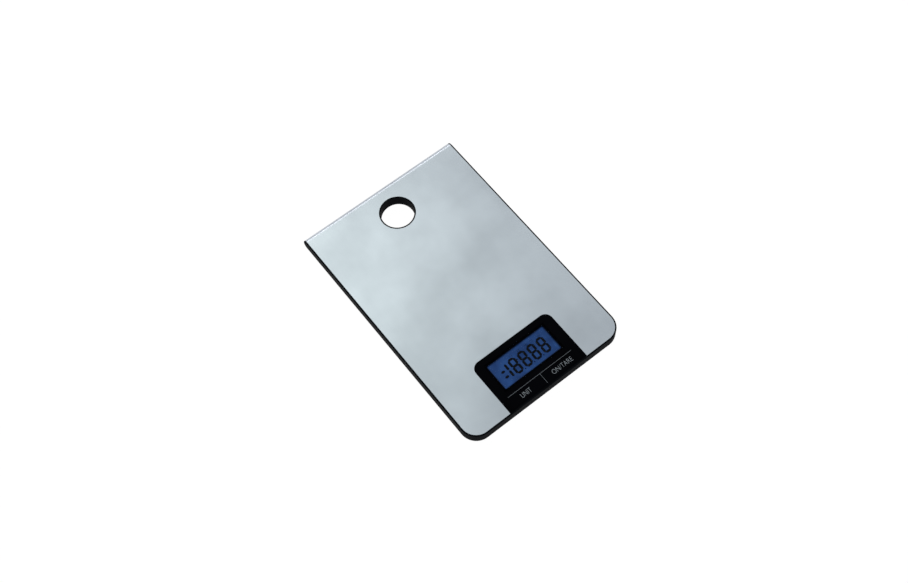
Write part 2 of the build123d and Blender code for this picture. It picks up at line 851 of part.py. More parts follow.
def battery_door():
    """Door with its hinge bead and pins, a latch tongue and grip ridges."""
    z = door_axis_z()
    length = door_length - door_thickness
    panel = block(door_width, length, base_z, z, 0, bay_y - door_thickness / 2)
    panel += Pos(0, door_axis_y(), z) * Rot(0, 90, 0) * Cylinder(door_thickness, door_width)
    panel += Pos(0, door_axis_y(), z) * Rot(0, 90, 0) * Cylinder(pin_radius, door_width + 2 * pin_length)
    latch_y = bay_y - door_length / 2 + latch_thickness / 2
    panel += block(latch_width, latch_thickness, z - 0.1, z + latch_height, 0, latch_y)
    for row in (2, 3, 4):
        groove_y = bay_y - door_length / 2 + row * grip_pitch
        panel -= block(grip_width, 0.7, base_z - 1, base_z + 0.3, 0, groove_y)
    return panel


def sensor_lead(side, end):
    """Lead from one strain gauge to its pad on the board."""
    x = side * foot_x
    gauge_y = end * gauge_place()
    if end < 0:
        pad_x, pad_y = terminal_places()["front"][0 if side < 0 else 1]
        points = [
            (x, gauge_y, lead_z),
            (x - side * 8.0, gauge_y + 1.0, lead_z),
            (pad_x + side * 6.0, pad_y, lead_z),
            (pad_x, pad_y, lead_z),
        ]
        return tube(points, 4.0)
    pad_x, pad_y = terminal_places()["rear"][0 if side < 0 else 1]
    lane_x = x - side * 12.0
    points = [
        (x, gauge_y, lead_z),
        (lane_x, gauge_y - 3.0, lead_z),
        (lane_x - side * 1.5, gauge_y / 2, lead_z),
        (lane_x, -gauge_y / 3, lead_z),
        (pad_x, board_back + 4.0, lead_z),
        (pad_x, pad_y, lead_z),
    ]
    return tube(points, 5.0)


def battery_lead(index):
    """Lead from one battery contact's tab to its pad on the board."""
    start_x = contact_strips()[index]["x"]
    pad_x, pad_y = terminal_places()["battery"][1 - index]
    start_y = tab_end() + 0.8
    points = [
        (start_x, start_y, lead_z),
        (start_x, start_y - 4.0, lead_z),
        (pad_x, pad_y + 6.0, lead_z),
        (pad_x, pad_y, lead_z),
    ]
    return tube(points, 2.5)


def blank_label():
    """Plain label in its recess on the underside."""
    low = base_z + label_recess - label_thickness
    return rounded(label_width, label_length, 1.0, low, base_z + label_recess, 0, label_y)


def all_nodes():
    """Every piece, by its node name."""
    nodes = {
        "platform_plate": platform_plate(),
        "platform_tape": platform_tape(),
        "top_housing": top_housing(),
        "bottom_cover": bottom_cover(),
        "window_panel": window_panel(),
        "display_lens": display_lens(),
        "lcd_gasket": lcd_gasket(),
        "lcd_front_polarizer": lcd_front_polarizer(),
        "lcd_front_glass": lcd_front_glass(),
        "lcd_rear_glass": lcd_rear_glass(),
        "lcd_rear_polarizer": lcd_rear_polarizer(),
        "lcd_frame": lcd_frame(),
        "light_guide": light_guide(),
        "backlight_leds": backlight_leds(),
        "zebra_strip": zebra_strip(),
        "main_board": main_board(),
        "controller_chip": controller_chip(),
        "board_parts": board_parts(),
        "lead_terminals": lead_terminals(),
        "board_screws": board_screws(),
        "housing_screws": housing_screws(),
        "cell_screws": cell_screws(),
        "strain_gauges": strain_gauges(),
        "coin_cell": coin_cell(),
        "battery_contact_positive": battery_contact_positive(),
        "battery_contact_negative": battery_contact_negative(),
        "battery_lead_positive": battery_lead(0),
        "battery_lead_negative": battery_lead(1),
        "battery_door": battery_door(),
        "blank_label": blank_label(),
    }
    for name, side in (("unit", -1), ("on_tare", 1)):
        nodes[name + "_key"] = key(side)
        nodes[name + "_switch"] = switch(side)
        nodes[name + "_switch_stem"] = switch_stem(side)
    for name, (side, end) in corners.items():
        nodes["load_cell_" + name] = load_cell(side, end)
        nodes["sensor_lead_" + name] = sensor_lead(side, end)
        nodes["foot_" + name] = foot(side, end)
        nodes["foot_pad_" + name] = foot_pad(side, end)
    return nodes


os.makedirs("parts", exist_ok=True)
for node, shape in all_nodes().items():
    export_step(shape, "parts/" + node + ".step")
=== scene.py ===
import bpy
import math
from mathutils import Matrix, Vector


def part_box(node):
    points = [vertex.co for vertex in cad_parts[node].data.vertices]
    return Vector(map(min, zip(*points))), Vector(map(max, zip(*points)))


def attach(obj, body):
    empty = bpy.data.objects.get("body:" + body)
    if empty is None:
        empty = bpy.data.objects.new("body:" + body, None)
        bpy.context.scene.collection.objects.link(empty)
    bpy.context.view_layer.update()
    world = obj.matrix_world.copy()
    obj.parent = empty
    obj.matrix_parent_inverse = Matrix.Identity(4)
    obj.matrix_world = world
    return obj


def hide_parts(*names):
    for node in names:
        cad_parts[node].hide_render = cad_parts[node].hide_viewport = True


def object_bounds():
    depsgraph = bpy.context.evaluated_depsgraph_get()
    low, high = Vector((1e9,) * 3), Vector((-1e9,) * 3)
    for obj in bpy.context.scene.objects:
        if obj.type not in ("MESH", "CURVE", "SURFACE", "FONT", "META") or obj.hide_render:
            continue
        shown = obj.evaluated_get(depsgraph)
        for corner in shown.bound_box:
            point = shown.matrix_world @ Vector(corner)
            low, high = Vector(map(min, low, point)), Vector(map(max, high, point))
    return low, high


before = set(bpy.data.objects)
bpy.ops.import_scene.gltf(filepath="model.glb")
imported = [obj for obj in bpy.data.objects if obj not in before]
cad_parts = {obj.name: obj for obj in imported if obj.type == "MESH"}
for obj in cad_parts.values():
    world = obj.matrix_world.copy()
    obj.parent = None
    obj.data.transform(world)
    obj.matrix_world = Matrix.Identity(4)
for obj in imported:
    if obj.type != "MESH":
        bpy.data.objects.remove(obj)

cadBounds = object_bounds()
mm = 0.001
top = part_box("platform_plate")[1].z          # upper face of the steel
panelLow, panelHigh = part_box("window_panel")
panelMiddleX = (panelLow.x + panelHigh.x) / 2
screenLow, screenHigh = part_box("lcd_front_polarizer")

# Helpers for materials, selection and modifiers

def hexToLinear(hexColor):
    # sRGB hex to the linear values that the shader wants
    channels = [int(hexColor[i:i + 2], 16) / 255 for i in (1, 3, 5)]
    linear = [c / 12.92 if c <= 0.04045 else ((c + 0.055) / 1.055) ** 2.4 for c in channels]
    return (*linear, 1.0)


def addNode(tree, kind, settings=None, inputs=None, stops=None):
    # adds one node, sets it up and links what it reads; stops are the two ends of a color ramp
    node = tree.nodes.new(kind)
    for name, value in (settings or {}).items():
        setattr(node, name, value)
    for name, value in (inputs or {}).items():
        if isinstance(value, bpy.types.NodeSocket):
            tree.links.new(value, node.inputs[name])
        else:
            node.inputs[name].default_value = value
    if stops:
        ramp = node.color_ramp
        for element, (position, hexColor) in zip(ramp.elements, stops):
            element.position = position
            element.color = hexToLinear(hexColor)
    return node


def newMaterial(name):
    # a shader and its output, and the object coordinates that its patterns read
    material = bpy.data.materials.new(name)
    material.use_nodes = True
    tree = material.node_tree
    tree.nodes.clear()
    shader = addNode(tree, "ShaderNodeBsdfPrincipled")
    addNode(tree, "ShaderNodeOutputMaterial", inputs={"Surface": shader.outputs["BSDF"]})
    coords = addNode(tree, "ShaderNodeTexCoord").outputs["Object"]
    return material, tree, shader, coords


def selectOnly(obj):
    bpy.ops.object.select_all(action="DESELECT")
    obj.select_set(True)
    bpy.context.view_layer.objects.active = obj


def settle():
    # moves the place, turn and size of the selected object into its mesh
    bpy.ops.object.transform_apply(location=True, rotation=True, scale=True)


def applyModifiers(obj):
    selectOnly(obj)
    for name in [modifier.name for modifier in obj.modifiers]:
        bpy.ops.object.modifier_apply(modifier=name)


def dress(nodeName, material):
    # gives a CAD node its material, in every slot it has
    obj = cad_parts[nodeName]
    if not obj.material_slots:
        obj.data.materials.append(material)
    for slot in obj.material_slots:
        slot.material = material


# Camera

cameraSetup = {
    "place": (-0.24388, -0.35057, 0.87936),
    "turn": (25.796, 1.860, -37.975),        # degrees
    "lens": 48.184,
    "sensor": 36.0,
    "nearClip": 0.01,
}

bpy.ops.object.camera_add(location=cameraSetup["place"],
                          rotation=[math.radians(a) for a in cameraSetup["turn"]])
camera = bpy.context.object
camera.name = "studioCamera"
camera.data.sensor_width = cameraSetup["sensor"]
camera.data.lens = cameraSetup["lens"]
camera.data.clip_start = cameraSetup["nearClip"]
bpy.context.scene.camera = camera
print("camera set")

# Studio: paper that glows evenly, a dim sky and two softboxes

studio = {
    "floorSize": 8.0,
    "paperDull": "#fdfdfd",
    "paperBright": "#ffffff",
    "paperUnlit": "#202020",
    "paperFibreMm": 3,
    "paperDetail": 2.0,
    "paperStops": (0.3, 0.7),
    "paperGlow": 1.0,
    "paperRoughness": 0.9,
    "skyColor": "#f2fbff",
    "skyStrength": 0.60,
}
# name, place, aimed at, width, length, watts, color
softboxes = [
    ("leftRearBox", (-0.20, 0.95, 1.70), (-0.05, 0.05, 0), 1.4, 1.0, 4.8, "#f2fff4"),
    ("rearStrip", (0.39, 1.35, 0.95), (0, 0.11, 0), 1.6, 0.30, 3.8, "#ffffff"),
]

bpy.context.scene.view_settings.view_transform = "Standard"
world = bpy.data.worlds.new("studioWorld")
bpy.context.scene.world = world
world.use_nodes = True
sky = world.node_tree.nodes["Background"]
sky.inputs["Color"].default_value = hexToLinear(studio["skyColor"])
sky.inputs["Strength"].default_value = studio["skyStrength"]

for name, place, target, width, length, watts, hexColor in softboxes:
    aim = (Vector(target) - Vector(place)).to_track_quat("-Z", "Y").to_euler()
    bpy.ops.object.light_add(type="AREA", location=place, rotation=aim)
    light = bpy.context.object
    light.name = name
    light.data.shape = "RECTANGLE"
    light.data.size, light.data.size_y = width, length
    light.data.energy = watts
    light.data.color = hexToLinear(hexColor)[:3]

bpy.ops.mesh.primitive_plane_add(size=studio["floorSize"], location=(0, 0, cadBounds[0].z))
floor = bpy.context.object
floor.name = "paperFloor"
paper, paperTree, paperShader, paperCoords = newMaterial("seamlessPaper")
paperNoise = addNode(paperTree, "ShaderNodeTexNoise", inputs={
    "Vector": paperCoords, "Scale": 1000 / studio["paperFibreMm"], "Detail": studio["paperDetail"]})
paperTint = addNode(paperTree, "ShaderNodeValToRGB", inputs={"Fac": paperNoise.outputs["Fac"]},
                    stops=list(zip(studio["paperStops"], (studio["paperDull"], studio["paperBright"]))))
paperTree.links.new(paperTint.outputs["Color"], paperShader.inputs["Emission Color"])
paperShader.inputs["Emission Strength"].default_value = studio["paperGlow"]
paperShader.inputs["Base Color"].default_value = hexToLinear(studio["paperUnlit"])
paperShader.inputs["Roughness"].default_value = studio["paperRoughness"]
floor.data.materials.append(paper)
print("studio set")

# Materials

# brushed stainless sheet: fine straight grain along the body, which spreads its reflections,
# and soft clouds from handling and rolling; the grain is drawn coarser than real, so that it shows
steelFinish = {
    "light": "#cfd2d9",
    "dark": "#bec1c8",
    "cloudMm": 55,
    "cloudDetail": 3.0,
    "cloudStops": (0.35, 0.65),
    "grainWidthMm": 0.5,
    "grainLengthMm": 45,
    "grainDepthMm": 8,
    "grainDetail": 4.0,
    "roughLow": 0.30,
    "roughHigh": 0.38,
    "grainHeightMm": 0.002,
    "bumpStrength": 0.1,
}

brushedSteel, tree, shader, coords = newMaterial("brushedStainless")
clouds = addNode(tree, "ShaderNodeTexNoise", inputs={
    "Vector": coords, "Scale": 1000 / steelFinish["cloudMm"], "Detail": steelFinish["cloudDetail"]})
tint = addNode(tree, "ShaderNodeValToRGB", inputs={"Fac": clouds.outputs["Fac"]},
               stops=list(zip(steelFinish["cloudStops"], (steelFinish["dark"], steelFinish["light"]))))
stretched = addNode(tree, "ShaderNodeMapping", inputs={
    "Vector": coords,
    "Scale": [1000 / steelFinish[size] for size in ("grainWidthMm", "grainLengthMm", "grainDepthMm")],
})
grain = addNode(tree, "ShaderNodeTexNoise", inputs={
    "Vector": stretched.outputs["Vector"], "Scale": 1.0, "Detail": steelFinish["grainDetail"]})
rough = addNode(tree, "ShaderNodeMapRange", inputs={
    "Value": grain.outputs["Fac"], "To Min": steelFinish["roughLow"], "To Max": steelFinish["roughHigh"]})
bump = addNode(tree, "ShaderNodeBump", inputs={
    "Height": grain.outputs["Fac"], "Strength": steelFinish["bumpStrength"],
    "Distance": steelFinish["grainHeightMm"] * mm})
shader.inputs["Metallic"].default_value = 1.0
tree.links.new(tint.outputs["Color"], shader.inputs["Base Color"])
tree.links.new(rough.outputs["Result"], shader.inputs["Roughness"])
tree.links.new(bump.outputs["Normal"], shader.inputs["Normal"])

# Every other finish: two near colors, mottled at patchMm, and a surface grain of grainMm and heightMm.
# The sheen of each comes from its roughness range and its own shader values.
finishes = {
    # injection-moulded ABS with a fine spark-eroded texture: black, soft highlights
    "mouldedAbs": {
        "colors": ("#0a0b0e", "#0f1013"), "patchMm": 20, "grainMm": 0.35, "heightMm": 0.02,
        "rough": (0.42, 0.52), "values": {"IOR": 1.54, "Specular IOR Level": 0.004},
    },
    # polished acrylic printed black from behind: deep black, no grain
    "printedAcrylic": {
        "colors": ("#040406", "#060609"), "patchMm": 30, "grainMm": 6, "heightMm": 0.001,
        "rough": (0.10, 0.14), "values": {"IOR": 1.49, "Specular IOR Level": 0.01},
    },
    # clear cast acrylic, seen mostly as what lies behind it
    "clearAcrylic": {
        "colors": ("#05070b", "#070a10"), "patchMm": 30, "grainMm": 8, "heightMm": 0.001,
        "rough": (0.04, 0.06), "values": {"IOR": 1.49, "Alpha": 0.10, "Specular IOR Level": 0.04},
    },
    # white moulded ABS of the display frame and the switch stems
    "whiteAbs": {
        "colors": ("#d4d4cf", "#dcdcd8"), "patchMm": 12, "grainMm": 0.3, "heightMm": 0.01,
        "rough": (0.4, 0.5), "values": {"IOR": 1.54},
    },
    # closed-cell foam: dull, with open pores
    "foam": {
        "colors": ("#1b1b1c", "#262627"), "patchMm": 1, "grainMm": 0.4, "heightMm": 0.15,
        "rough": (0.85, 0.95), "values": {},
    },
    # tissue tape with acrylic glue
    "tissueTape": {
        "colors": ("#cfc9b4", "#dcd7c6"), "patchMm": 3, "grainMm": 0.5, "heightMm": 0.02,
        "rough": (0.6, 0.7), "values": {},
    },
    # silicone contact rubber
    "contactRubber": {
        "colors": ("#6a6c70", "#777a7e"), "patchMm": 4, "grainMm": 0.5, "heightMm": 0.01,
        "rough": (0.55, 0.65), "values": {},
    },
    # moulded nitrile rubber of the feet: dull dark grey with a fine bloom
    "footRubber": {
        "colors": ("#26272a", "#303135"), "patchMm": 3, "grainMm": 0.3, "heightMm": 0.02,
        "rough": (0.7, 0.8), "values": {"IOR": 1.52},
    },
    # green solder mask over glass-fibre board
    "solderMask": {
        "colors": ("#0d4a26", "#12572f"), "patchMm": 2, "grainMm": 0.6, "heightMm": 0.01,
        "rough": (0.25, 0.35), "values": {"IOR": 1.55},
    },
    # potting resin drop
    "pottingResin": {
        "colors": ("#0a0a0a", "#111111"), "patchMm": 5, "grainMm": 2, "heightMm": 0.02,
        "rough": (0.2, 0.3), "values": {"IOR": 1.56},
    },
    # ceramic chips
    "chipCeramic": {
        "colors": ("#7a6348", "#8c7556"), "patchMm": 1, "grainMm": 0.2, "heightMm": 0.01,
        "rough": (0.5, 0.6), "values": {},
    },
    # tinned solder pads
    "tin": {
        "colors": ("#b9bbbd", "#c8cacc"), "patchMm": 1, "grainMm": 0.5, "heightMm": 0.02,
        "rough": (0.25, 0.4), "values": {"Metallic": 1.0},
    },
    # zinc-plated screws, slightly blue
    "zincPlate": {
        "colors": ("#a9adb5", "#c0c4ca"), "patchMm": 1.5, "grainMm": 0.3, "heightMm": 0.01,
        "rough": (0.28, 0.4), "values": {"Metallic": 1.0},
    },
    # ground alloy steel of the load cells
    "groundSteel": {
        "colors": ("#8d9094", "#a0a3a7"), "patchMm": 8, "grainMm": 0.4, "heightMm": 0.01,
        "rough": (0.3, 0.42), "values": {"Metallic": 1.0},
    },
    # nickel plating of the coin cell and the spring contacts
    "nickelPlate": {
        "colors": ("#c2c0b9", "#d2d0ca"), "patchMm": 6, "grainMm": 0.4, "heightMm": 0.005,
        "rough": (0.18, 0.3), "values": {"Metallic": 1.0},
    },
    # amber film with etched foil
    "gaugeFilm": {
        "colors": ("#a8601e", "#c07a30"), "patchMm": 0.8, "grainMm": 0.3, "heightMm": 0.01,
        "rough": (0.3, 0.4), "values": {},
    },
    # PVC lead insulation
    "redPvc": {
        "colors": ("#a01414", "#b01c1c"), "patchMm": 4, "grainMm": 0.4, "heightMm": 0.01,
        "rough": (0.4, 0.5), "values": {},
    },
    "blackPvc": {
        "colors": ("#161616", "#1e1e1e"), "patchMm": 4, "grainMm": 0.4, "heightMm": 0.01,
        "rough": (0.4, 0.5), "values": {},
    },
    "greyPvc": {
        "colors": ("#7c7e82", "#8a8c90"), "patchMm": 4, "grainMm": 0.4, "heightMm": 0.01,
        "rough": (0.4, 0.5), "values": {},
    },
    # silver polyester film label
    "silverFilm": {
        "colors": ("#a8abae", "#b6b9bc"), "patchMm": 7, "grainMm": 0.5, "heightMm": 0.004,
        "rough": (0.35, 0.45), "values": {"Metallic": 0.6},
    },
    # display glass, almost clear
    "displayGlass": {
        "colors": ("#0a1a38", "#0c1e40"), "patchMm": 20, "grainMm": 5, "heightMm": 0.001,
        "rough": (0.05, 0.08), "values": {"IOR": 1.52, "Alpha": 0.25},
    },
    # frosted acrylic light guide and the LEDs beside it
    "frostedAcrylic": {
        "colors": ("#2350a8", "#2d5cb8"), "patchMm": 6, "grainMm": 0.5, "heightMm": 0.01,
        "rough": (0.5, 0.6), "values": {"IOR": 1.49},
    },
    # screen-printed ink of the lines, thinner and so darker than that of the words
    "lineInk": {
        "colors": ("#6c6e73", "#797b80"), "patchMm": 0.8, "grainMm": 0.2, "heightMm": 0.005,
        "rough": (0.5, 0.6), "values": {"Specular IOR Level": 0.2},
    },
    # screen-printed ink of the words: light grey
    "legendInk": {
        "colors": ("#96999e", "#a6a9ae"), "patchMm": 0.8, "grainMm": 0.2, "heightMm": 0.005,
        "rough": (0.5, 0.6), "values": {"Specular IOR Level": 0.2},
    },
    # switched-on display segments, almost black against the light
    "segmentInk": {
        "colors": ("#020409", "#04070f"), "patchMm": 3, "grainMm": 1, "heightMm": 0.002,
        "rough": (0.4, 0.5), "values": {"Specular IOR Level": 0.1},
    },
}


# what all of these finishes share
grainSetup = {
    "patchDetail": 2.0,
    "patchStops": (0.35, 0.65),
    "grainDetail": 3.0,
    "bumpStrength": 0.3,
}


def makeFinish(name, finish):
    material, tree, shader, coords = newMaterial(name)
    patches = addNode(tree, "ShaderNodeTexNoise", inputs={
        "Vector": coords, "Scale": 1000 / finish["patchMm"], "Detail": grainSetup["patchDetail"]})
    tint = addNode(tree, "ShaderNodeValToRGB", inputs={"Fac": patches.outputs["Fac"]},
                   stops=list(zip(grainSetup["patchStops"], finish["colors"])))
    grain = addNode(tree, "ShaderNodeTexNoise", inputs={
        "Vector": coords, "Scale": 1000 / finish["grainMm"], "Detail": grainSetup["grainDetail"]})
    rough = addNode(tree, "ShaderNodeMapRange", inputs={
        "Value": grain.outputs["Fac"], "To Min": finish["rough"][0], "To Max": finish["rough"][1]})
    bump = addNode(tree, "ShaderNodeBump", inputs={
        "Height": grain.outputs["Fac"], "Strength": grainSetup["bumpStrength"],
        "Distance": finish["heightMm"] * mm})
    tree.links.new(tint.outputs["Color"], shader.inputs["Base Color"])
    tree.links.new(rough.outputs["Result"], shader.inputs["Roughness"])
    tree.links.new(bump.outputs["Normal"], shader.inputs["Normal"])
    for socket, value in finish["values"].items():
        shader.inputs[socket].default_value = value
    return material


materials = {name: makeFinish(name, finish) for name, finish in finishes.items()}
materials["brushedStainless"] = brushedSteel

# liquid crystal display over a blue backlight: its own glow, in soft uneven patches; towards the
# window's edges the glow is darkened by painted shade from the window's rim, together with the
# backlight's own falloff
screenGlow = {
    "dim": "#17366a",
    "bright": "#244984",
    "unlit": "#050a12",
    "patchMm": 9,
    "patchDetail": 1.0,
    "patchStops": (0.3, 0.7),
    "roughness": 0.5,
    "specular": 0.2,
    "strength": 0.97,
    "edgeShadeWidth": 1.4 * mm,                # painted shade: the glow darkens this far in from the window's edge
    "edgeShadeLevel": 0.22,                   # what is left of the glow under the painted shade at the edge
    "lensLedge": 1.6 * mm,               # the lens is wider than the window by this all round
}

litScreen, tree, shader, coords = newMaterial("litScreen")
patches = addNode(tree, "ShaderNodeTexNoise", inputs={
    "Vector": coords, "Scale": 1000 / screenGlow["patchMm"], "Detail": screenGlow["patchDetail"]})
glow = addNode(tree, "ShaderNodeValToRGB", inputs={"Fac": patches.outputs["Fac"]},
               stops=list(zip(screenGlow["patchStops"], (screenGlow["dim"], screenGlow["bright"]))))
lensLow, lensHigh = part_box("display_lens")
windowMiddle = (lensLow + lensHigh) / 2
# painted shade: the glow is multiplied down near the window's edges, where the rim overhangs the screen
edgeShades = []
centred = addNode(tree, "ShaderNodeVectorMath", {"operation": "SUBTRACT"}, {0: coords, 1: windowMiddle})
parts = addNode(tree, "ShaderNodeSeparateXYZ", inputs={"Vector": centred.outputs["Vector"]})
for axis, half in (("X", (lensHigh.x - lensLow.x) / 2), ("Y", (lensHigh.y - lensLow.y) / 2)):
    edge = half - screenGlow["lensLedge"]
    away = addNode(tree, "ShaderNodeMath", {"operation": "ABSOLUTE"}, {0: parts.outputs[axis]})
    edgeShades.append(addNode(tree, "ShaderNodeMapRange", {"interpolation_type": "SMOOTHSTEP"}, {
        "Value": away.outputs["Value"], "From Min": edge - screenGlow["edgeShadeWidth"], "From Max": edge,
        "To Min": 1.0, "To Max": screenGlow["edgeShadeLevel"]}))
edgeShade = addNode(tree, "ShaderNodeMath", {"operation": "MULTIPLY"}, {
    0: edgeShades[0].outputs["Result"], 1: edgeShades[1].outputs["Result"]})
shadedGlow = addNode(tree, "ShaderNodeVectorMath", {"operation": "SCALE"}, {
    0: glow.outputs["Color"], "Scale": edgeShade.outputs["Value"]})
tree.links.new(shadedGlow.outputs["Vector"], shader.inputs["Emission Color"])
shader.inputs["Base Color"].default_value = hexToLinear(screenGlow["unlit"])
shader.inputs["Emission Strength"].default_value = screenGlow["strength"]
shader.inputs["Roughness"].default_value = screenGlow["roughness"]
shader.inputs["Specular IOR Level"].default_value = screenGlow["specular"]
materials["litScreen"] = litScreen

nodeFinish = {
    "platform_plate": "brushedStainless", "platform_tape": "tissueTape",
    "top_housing": "mouldedAbs", "bottom_cover": "mouldedAbs", "battery_door": "mouldedAbs",
    "window_panel": "printedAcrylic", "display_lens": "clearAcrylic",
    "unit_key": "printedAcrylic", "on_tare_key": "printedAcrylic",
    "unit_switch": "mouldedAbs", "on_tare_switch": "mouldedAbs",
    "unit_switch_stem": "whiteAbs", "on_tare_switch_stem": "whiteAbs",
    "lcd_front_polarizer": "litScreen", "lcd_front_glass": "displayGlass",
    "lcd_rear_glass": "displayGlass", "lcd_rear_polarizer": "displayGlass",
    "lcd_frame": "whiteAbs", "lcd_gasket": "foam",
    "light_guide": "frostedAcrylic", "backlight_leds": "frostedAcrylic", "zebra_strip": "contactRubber",
    "main_board": "solderMask", "controller_chip": "pottingResin", "board_parts": "chipCeramic",
    "lead_terminals": "tin", "board_screws": "zincPlate", "housing_screws": "zincPlate",
    "cell_screws": "zincPlate", "strain_gauges": "gaugeFilm", "coin_cell": "nickelPlate",
    "battery_contact_positive": "nickelPlate", "battery_contact_negative": "nickelPlate",
    "battery_lead_positive": "redPvc", "battery_lead_negative": "blackPvc", "blank_label": "silverFilm",
}
corners = ("front_left", "front_right", "rear_left", "rear_right")
for corner in corners:
    nodeFinish["load_cell_" + corner] = "groundSteel"
    nodeFinish["sensor_lead_" + corner] = "greyPvc"
    nodeFinish["foot_" + corner] = "mouldedAbs"
    nodeFinish["foot_pad_" + corner] = "footRubber"
for nodeName, finishName in nodeFinish.items():
    dress(nodeName, materials[finishName])
print("materials on", len(nodeFinish), "nodes")

# Printed lines on the panel and legends on the keys

legend = {
    "thickness": 0.015 * mm,
    "capHeight": 4.0 * mm,
    "lineWidth": 0.25 * mm,
    "thinning": -0.018,                  # strokes pulled in, for a light face
    "weld": 0.001 * mm,                  # joins the points of a word's outline
    "crossLineHalf": 31.3 * mm,          # half length of the line behind the keys
    "crossLineIn": 11.15 * mm,           # how far it is from the panel's front edge
    "dividerIn": 1.6 * mm,               # and where the line between the keys starts
    "endRounding": 0.45,                 # of a line's width
    "endSteps": 3,
    "texts": {                           # key node: text, width of the word
        "unit_key": ("UNIT", 9.4 * mm),
        "on_tare_key": ("ON/TARE", 19.4 * mm),
    },
}


def flatBar(name, x0, x1, y0, y1, z, thickness):
    # a thin printed or etched bar, with its ends rounded off
    bpy.ops.mesh.primitive_cube_add(size=1, location=((x0 + x1) / 2, (y0 + y1) / 2, z + thickness / 2))
    bar = bpy.context.object
    bar.name = name
    bar.scale = (x1 - x0, y1 - y0, thickness)
    settle()
    rounding = bar.modifiers.new("rounding", "BEVEL")
    rounding.width = min(x1 - x0, y1 - y0) * legend["endRounding"]
    rounding.segments = legend["endSteps"]
    rounding.limit_method = "WEIGHT"
    weights = bar.data.attributes.new("bevel_weight_edge", "FLOAT", "EDGE")
    for edge in bar.data.edges:
        a, b = (bar.data.vertices[i].co for i in edge.vertices)
        weights.data[edge.index].value = 1.0 if abs(a.z - b.z) > thickness / 2 else 0.0
    applyModifiers(bar)
    return bar


def flatWord(name, word, x, y, z, width, height, thickness):
    # a word as a thin mesh, stretched to the width and height it is printed at
    bpy.ops.object.text_add(location=(0, 0, 0))
    text = bpy.context.object
    text.name = name
    text.data.body = word
    text.data.offset = legend["thinning"]
    selectOnly(text)
    bpy.ops.object.convert(target="MESH")
    text = bpy.context.object
    xs = [v.co.x for v in text.data.vertices]
    ys = [v.co.y for v in text.data.vertices]
    for vertex in text.data.vertices:
        vertex.co.x = x + ((vertex.co.x - min(xs)) / (max(xs) - min(xs)) - 0.5) * width
        vertex.co.y = y + ((vertex.co.y - min(ys)) / (max(ys) - min(ys)) - 0.5) * height
        vertex.co.z = z
    bpy.ops.object.mode_set(mode="EDIT")
    bpy.ops.mesh.select_all(action="SELECT")
    bpy.ops.mesh.remove_doubles(threshold=legend["weld"])
    bpy.ops.mesh.extrude_region_move(TRANSFORM_OT_translate={"value": (0, 0, thickness)})
    bpy.ops.mesh.select_all(action="SELECT")
    bpy.ops.mesh.normals_make_consistent(inside=False)
    bpy.ops.object.mode_set(mode="OBJECT")
    return text


def finishPiece(piece, materialName, body):
    # its material and the body it moves with
    piece.data.materials.clear()
    piece.data.materials.append(materials[materialName])
    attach(piece, body)


def joinAs(name, pieces):
    selectOnly(pieces[0])
    for piece in pieces:
        piece.select_set(True)
    bpy.ops.object.join()
    pieces[0].name = name
    return pieces[0]


lineY = panelLow.y + legend["crossLineIn"]
halfLine = legend["lineWidth"] / 2
lines = [
    flatBar("lineBehindKeys",
            panelMiddleX - legend["crossLineHalf"], panelMiddleX + legend["crossLineHalf"],
            lineY - halfLine, lineY + halfLine, top, legend["thickness"]),
    flatBar("lineBetweenKeys", panelMiddleX - halfLine, panelMiddleX + halfLine,
            panelLow.y + legend["dividerIn"], lineY - halfLine, top, legend["thickness"]),
]
finishPiece(joinAs("panelLines", lines), "lineInk", "scale_body")
for keyName, (word, width) in legend["texts"].items():
    low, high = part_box(keyName)
    piece = flatWord(keyName + "Legend", word, (low.x + high.x) / 2, (low.y + high.y) / 2, high.z,
                     width, legend["capHeight"], legend["thickness"])
    finishPiece(piece, "legendInk", keyName)
print("legends printed")

# Display segments, switched on

# all in millimetres from the left and front edges of the front polarizer
screen = {
    "digitLefts": [17.7, 26.95, 36.2, 45.45],
    "digitFront": 6.3,
    "digitWidth": 7.1,
    "digitHeight": 14.6,
    "barWidth": 2.0,
    "gap": 0.05,
    "thickness": 0.03,
    "corners": 6,
    "oneMiddle": 14.9,
    "dashes": [(8.4, 12.2, 15.3), (8.4, 12.2, 10.3)],            # left, right, middle
    "dots": [(25.7, 6.9), (34.8, 6.9), (43.9, 6.9), (25.3, 16.9)],
    "dotSize": 1.0,
    "units": [("kg", 23.1), ("g", 30.7), ("lb", 38.4), ("oz", 43.7), ("ml", 50.7)],
    "unitMiddle": 22.1,
    "unitHeight": 1.9,
    "unitWidth": 2.6,
}


def segmentBar(x, y, length, lengthwise):
    # one bar with pointed ends, its middle at x, y, in millimetres from the polarizer's corner
    bpy.ops.mesh.primitive_cylinder_add(vertices=screen["corners"], radius=1,
                                        depth=screen["thickness"] * mm)
    bar = bpy.context.object
    half, side = length / 2, screen["barWidth"] / 2
    for vertex in bar.data.vertices:
        isTip = abs(vertex.co.x) < 0.1         # two of the corners lie on the primitive's own middle line
        along = math.copysign(half if isTip else half - side, vertex.co.y)
        across = 0 if isTip else math.copysign(side, vertex.co.x)
        dx, dy = (across, along) if lengthwise else (along, -across)
        vertex.co.x = screenLow.x + (x + dx) * mm
        vertex.co.y = screenLow.y + (y + dy) * mm
        vertex.co.z += screenHigh.z + screen["thickness"] * mm / 2
    return bar


